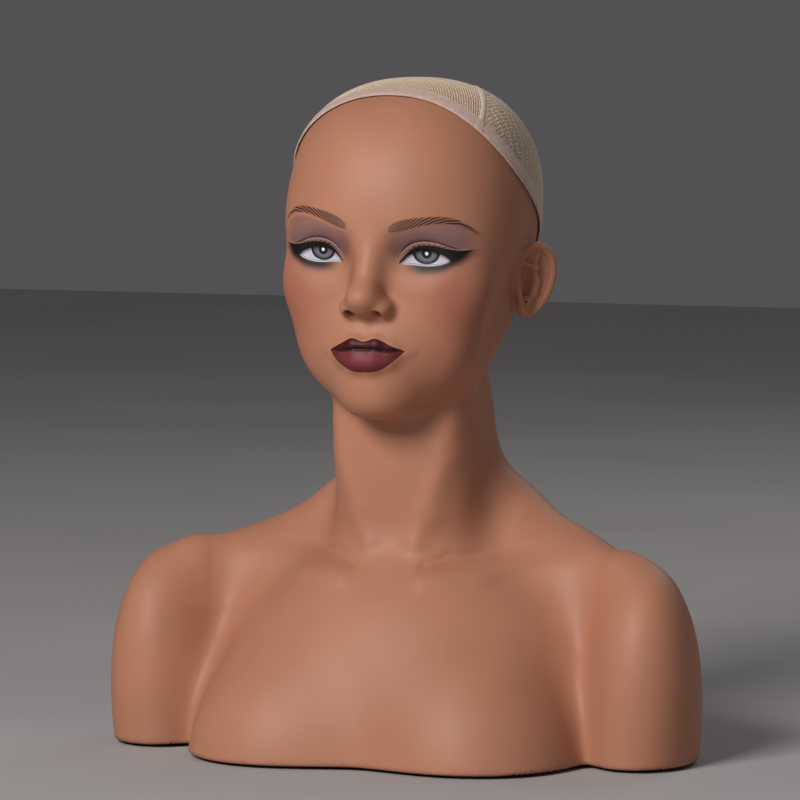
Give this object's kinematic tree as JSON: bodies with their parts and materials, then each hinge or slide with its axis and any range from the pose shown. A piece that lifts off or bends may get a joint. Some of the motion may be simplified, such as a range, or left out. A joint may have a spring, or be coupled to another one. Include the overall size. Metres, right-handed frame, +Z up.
{
  "type": "mannequin training head",
  "caption": "Head-and-shoulders display bust in painted moulded plastic with a made-up face, wearing a pull-off net wig cap with an elastic band",
  "frame": {"origin": "the middle of the footprint, on the surface that the feet stand on", "axes": "+Z up, the face looks along -Y, +X is the figure's own left"},
  "size_m": [0.3866, 0.2142, 0.4244],
  "materials": {
    "painted_skin": "satin tan paint on moulded plastic, with a hand-painted face",
    "base_board": "dark matt moulded sheet",
    "foot_rubber": "black rubber",
    "zinc_steel": "bright zinc-plated screw",
    "block_wood": "plain sawn pine",
    "cap_net": "open knitted nylon net",
    "cap_elastic": "smooth woven elastic"
  },
  "bodies": {
    "bust": {"bust_shell": "painted_skin", "base_plate": "base_board", "base_foot_1": "foot_rubber", "base_foot_2": "foot_rubber", "base_foot_3": "foot_rubber", "base_foot_4": "foot_rubber", "base_foot_5": "foot_rubber", "base_foot_6": "foot_rubber", "base_screw_1": "zinc_steel", "base_screw_2": "zinc_steel", "base_screw_3": "zinc_steel", "base_screw_4": "zinc_steel", "base_screw_5": "zinc_steel", "base_screw_6": "zinc_steel", "base_block_1": "block_wood", "base_block_2": "block_wood", "base_block_3": "block_wood", "base_block_4": "block_wood", "base_block_5": "block_wood", "base_block_6": "block_wood"},
    "wig_cap": {"cap_net_front": "cap_net", "cap_net_rear": "cap_net", "cap_band": "cap_elastic", "cap_seam_tape": "cap_elastic", "cap_band_join": "cap_elastic"}
  },
  "joints": [
    {"name": "cap_pull", "type": "slide", "parent": "bust", "child": "wig_cap", "axis": [0, 0.8571, 0.5151], "range_m": [0, 0.2]}
  ]
}
